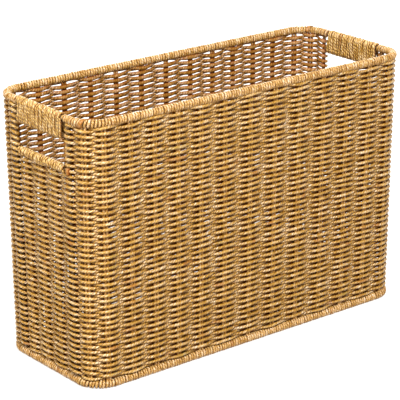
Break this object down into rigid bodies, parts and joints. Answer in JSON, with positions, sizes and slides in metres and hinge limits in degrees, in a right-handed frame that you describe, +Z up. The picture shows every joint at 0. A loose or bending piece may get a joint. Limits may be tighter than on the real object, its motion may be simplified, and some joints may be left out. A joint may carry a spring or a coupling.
{
  "type": "magazine basket",
  "caption": "Narrow upright woven cord basket on a wire frame, open at the top, with a hand opening and a wound grip at each short end.",
  "frame": {"origin": "on the floor, at the middle of the basket's outer box", "axes": "+X along the basket's long side, +Y through its width with the front face towards -Y, +Z up"},
  "size_m": [0.4098, 0.1592, 0.272],
  "materials": {
    "frame_wire": "satin brown coating on steel wire",
    "stake_cord": "twisted natural cord, satin",
    "woven_cord": "twisted natural cord, satin",
    "wound_cord": "twisted natural cord, satin, paler"
  },
  "bodies": {
    "root": {"back_corner_stake_1": "stake_cord", "back_corner_stake_2": "stake_cord", "back_corner_stake_3": "stake_cord", "back_corner_stake_4": "stake_cord", "back_rim_wrap": "wound_cord", "back_stake_1": "stake_cord", "back_stake_10": "stake_cord", "back_stake_11": "stake_cord", "back_stake_2": "stake_cord", "back_stake_3": "stake_cord", "back_stake_4": "stake_cord", "back_stake_5": "stake_cord", "back_stake_6": "stake_cord", "back_stake_7": "stake_cord", "back_stake_8": "stake_cord", "back_stake_9": "stake_cord", "back_weave": "woven_cord", "base_weave": "woven_cord", "foot_wire": "frame_wire", "foot_wrap": "wound_cord", "front_corner_stake_1": "stake_cord", "front_corner_stake_2": "stake_cord", "front_corner_stake_3": "stake_cord", "front_corner_stake_4": "stake_cord", "front_rim_wrap": "wound_cord", "front_stake_1": "stake_cord", "front_stake_10": "stake_cord", "front_stake_11": "stake_cord", "front_stake_2": "stake_cord", "front_stake_3": "stake_cord", "front_stake_4": "stake_cord", "front_stake_5": "stake_cord", "front_stake_6": "stake_cord", "front_stake_7": "stake_cord", "front_stake_8": "stake_cord", "front_stake_9": "stake_cord", "front_weave": "woven_cord", "left_grip_bar": "frame_wire", "left_grip_winding": "wound_cord", "left_post_1": "frame_wire", "left_post_2": "frame_wire", "left_sill_winding": "wound_cord", "left_sill_wire": "frame_wire", "left_stake_1": "stake_cord", "left_stake_2": "stake_cord", "left_stake_3": "stake_cord", "left_weave": "woven_cord", "right_grip_bar": "frame_wire", "right_grip_winding": "wound_cord", "right_post_1": "frame_wire", "right_post_2": "frame_wire", "right_sill_winding": "wound_cord", "right_sill_wire": "frame_wire", "right_stake_1": "stake_cord", "right_stake_2": "stake_cord", "right_stake_3": "stake_cord", "right_weave": "woven_cord", "rim_wire": "frame_wire"}
  },
  "joints": []
}
